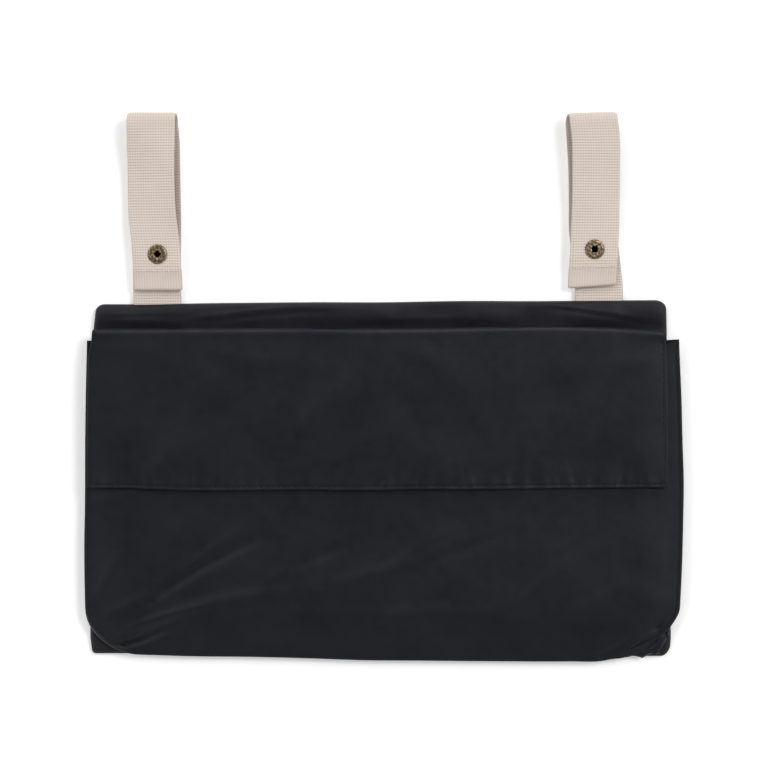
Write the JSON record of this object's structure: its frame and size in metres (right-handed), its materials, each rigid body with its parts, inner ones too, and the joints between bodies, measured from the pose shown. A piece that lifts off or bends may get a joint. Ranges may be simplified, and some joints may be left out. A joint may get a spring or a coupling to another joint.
{
  "type": "strap-on flap pouch",
  "caption": "Flat nylon pouch with a front flap and a gusseted pocket, hung by webbing loops that close with snap fasteners.",
  "frame": {"origin": "centre of the outline, on the surface that the pouch lies on", "axes": "+X to the pouch's right as seen from the front, +Y towards the webbing loops, +Z out of the front"},
  "size_m": [0.3168, 0.2894, 0.013],
  "materials": {
    "nylon_shell": "black plain-woven nylon with a slight sheen",
    "nylon_lining": "black lining cloth",
    "stiffener_board": "thin flexible plastic board",
    "closure_tape": "black hook-and-loop tape",
    "black_thread": "black polyester sewing thread",
    "webbing": "beige ribbed cotton webbing",
    "beige_thread": "beige sewing thread",
    "antique_brass": "antique brass with a dark patina"
  },
  "bodies": {
    "bag": {"back_panel": "nylon_shell", "back_stiffener": "stiffener_board", "back_lining": "nylon_shell", "flap_root": "nylon_shell", "gusset": "nylon_shell", "left_strap_tail": "webbing", "left_anchor_stitch": "black_thread", "right_strap_tail": "webbing", "right_anchor_stitch": "black_thread"},
    "pocket": {"front_panel": "nylon_shell", "front_lining": "nylon_lining", "mouth_binding": "nylon_shell", "loop_tape": "closure_tape"},
    "flap": {"flap_outer": "nylon_shell", "flap_lining": "nylon_lining", "flap_topstitch": "black_thread", "hook_tape": "closure_tape"},
    "left_strap": {"left_back_leg": "webbing", "left_snap_socket": "antique_brass", "left_snap_cap": "antique_brass"},
    "left_tab": {"left_front_leg": "webbing", "left_hem_stitch": "beige_thread", "left_snap_eyelet": "antique_brass", "left_snap_stud": "antique_brass"},
    "right_strap": {"right_back_leg": "webbing", "right_snap_socket": "antique_brass", "right_snap_cap": "antique_brass"},
    "right_tab": {"right_front_leg": "webbing", "right_hem_stitch": "beige_thread", "right_snap_eyelet": "antique_brass", "right_snap_stud": "antique_brass"}
  },
  "joints": [
    {"name": "flap_lift", "type": "hinge", "parent": "bag", "child": "flap", "pos_m": [0, 0.029, 0.0115], "axis": [-1, 0, 0], "range_deg": [0, 170]},
    {"name": "pocket_open", "type": "hinge", "parent": "bag", "child": "pocket", "pos_m": [0, -0.1447, 0.0082], "axis": [1, 0, 0], "range_deg": [0, 6]},
    {"name": "left_strap_swing", "type": "hinge", "parent": "bag", "child": "left_strap", "pos_m": [-0.1195, 0.046, 0.00175], "axis": [-1, 0, 0], "range_deg": [-90, 0]},
    {"name": "left_tab_open", "type": "hinge", "parent": "left_strap", "child": "left_tab", "pos_m": [-0.1195, 0.1392, 0.0065], "axis": [-1, 0, 0], "range_deg": [0, 165]},
    {"name": "right_strap_swing", "type": "hinge", "parent": "bag", "child": "right_strap", "pos_m": [0.1117, 0.046, 0.00175], "axis": [-1, 0, 0], "range_deg": [-90, 0]},
    {"name": "right_tab_open", "type": "hinge", "parent": "right_strap", "child": "right_tab", "pos_m": [0.1117, 0.1392, 0.0065], "axis": [-1, 0, 0], "range_deg": [0, 165]}
  ],
  "couplings": [
    {"joint": "pocket_open", "follows": "flap_lift", "ratio": 0.033}
  ]
}
